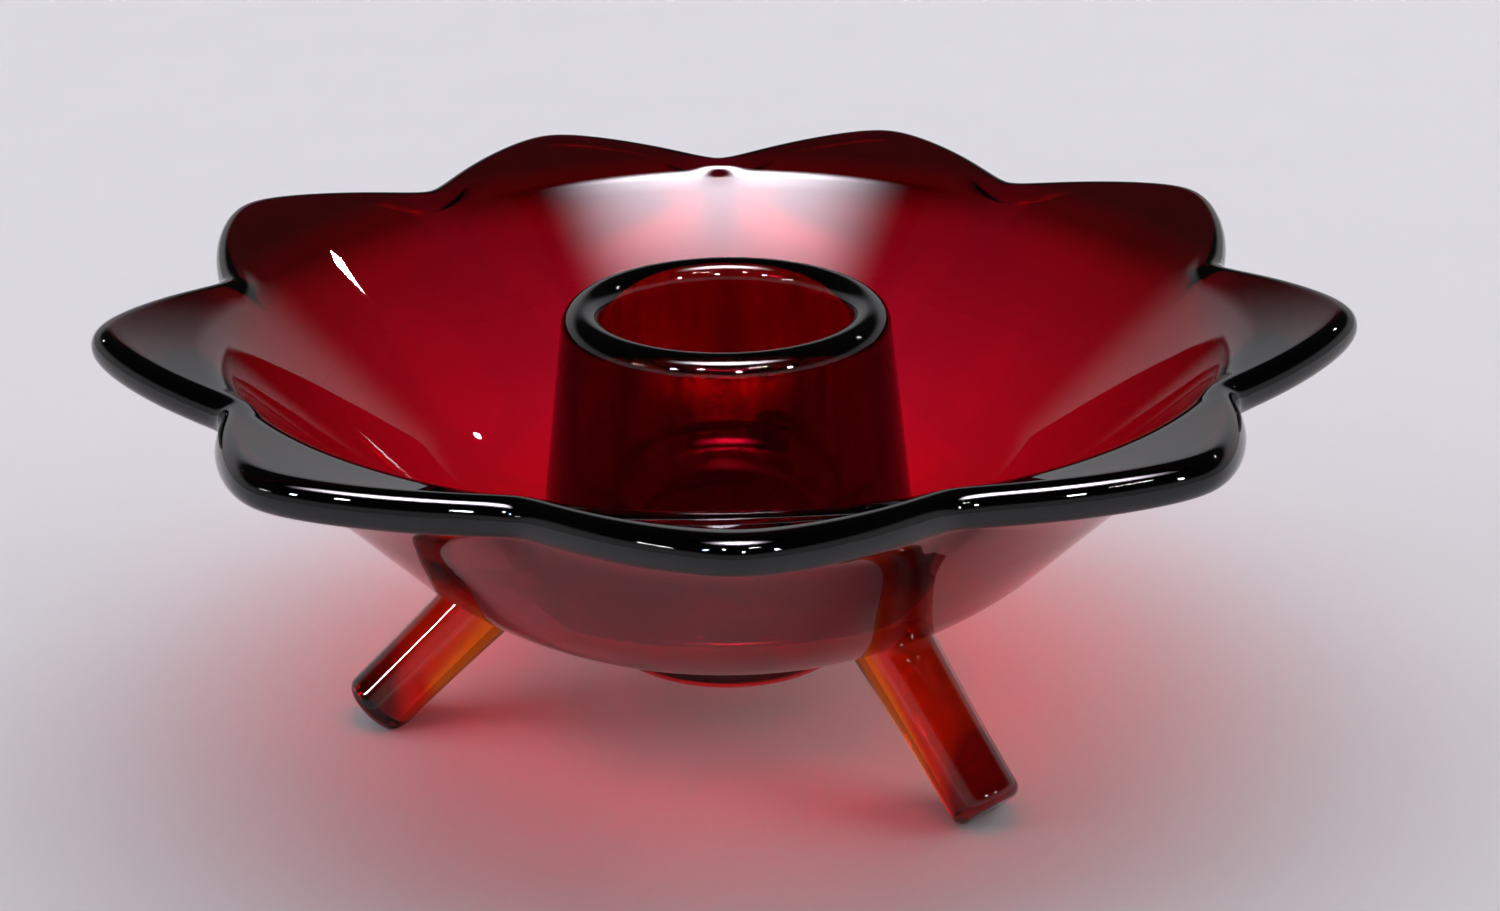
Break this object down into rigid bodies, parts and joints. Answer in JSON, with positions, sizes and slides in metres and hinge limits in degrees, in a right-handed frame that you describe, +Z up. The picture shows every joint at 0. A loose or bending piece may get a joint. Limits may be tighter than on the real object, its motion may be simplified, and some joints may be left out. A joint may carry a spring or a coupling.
{
  "type": "candle holder",
  "caption": "Pressed glass taper candle holder: a shallow bowl with a petal rim and a central socket, standing on splayed toes.",
  "frame": {"origin": "on the axis of the candle socket, at the table that the three toes stand on", "axes": "+Z up along the axis of the candle socket; one petal of the rim points to -Y, and the toes stand under petals at 40, 160 and 280 degrees counterclockwise from -Y, seen from above"},
  "size_m": [0.1152, 0.1139, 0.0427],
  "materials": {
    "ruby_glass": "fire-polished ruby red pressed glass",
    "ruby_rim_glass": "fire-polished ruby glass, nearly black where it is thick",
    "ruby_socket_glass": "fire-polished ruby glass, dark red",
    "amber_ruby_glass": "pressed glass, red turning to orange",
    "amber_toe_glass": "fire-polished glass, ruby red turning to amber along the inner side"
  },
  "bodies": {
    "root": {"bowl": "ruby_glass", "petal_rim": "ruby_rim_glass", "candle_socket": "ruby_socket_glass", "base_pad": "amber_ruby_glass", "toe_front_right": "amber_toe_glass", "toe_back": "amber_toe_glass", "toe_left": "amber_toe_glass"}
  },
  "joints": []
}
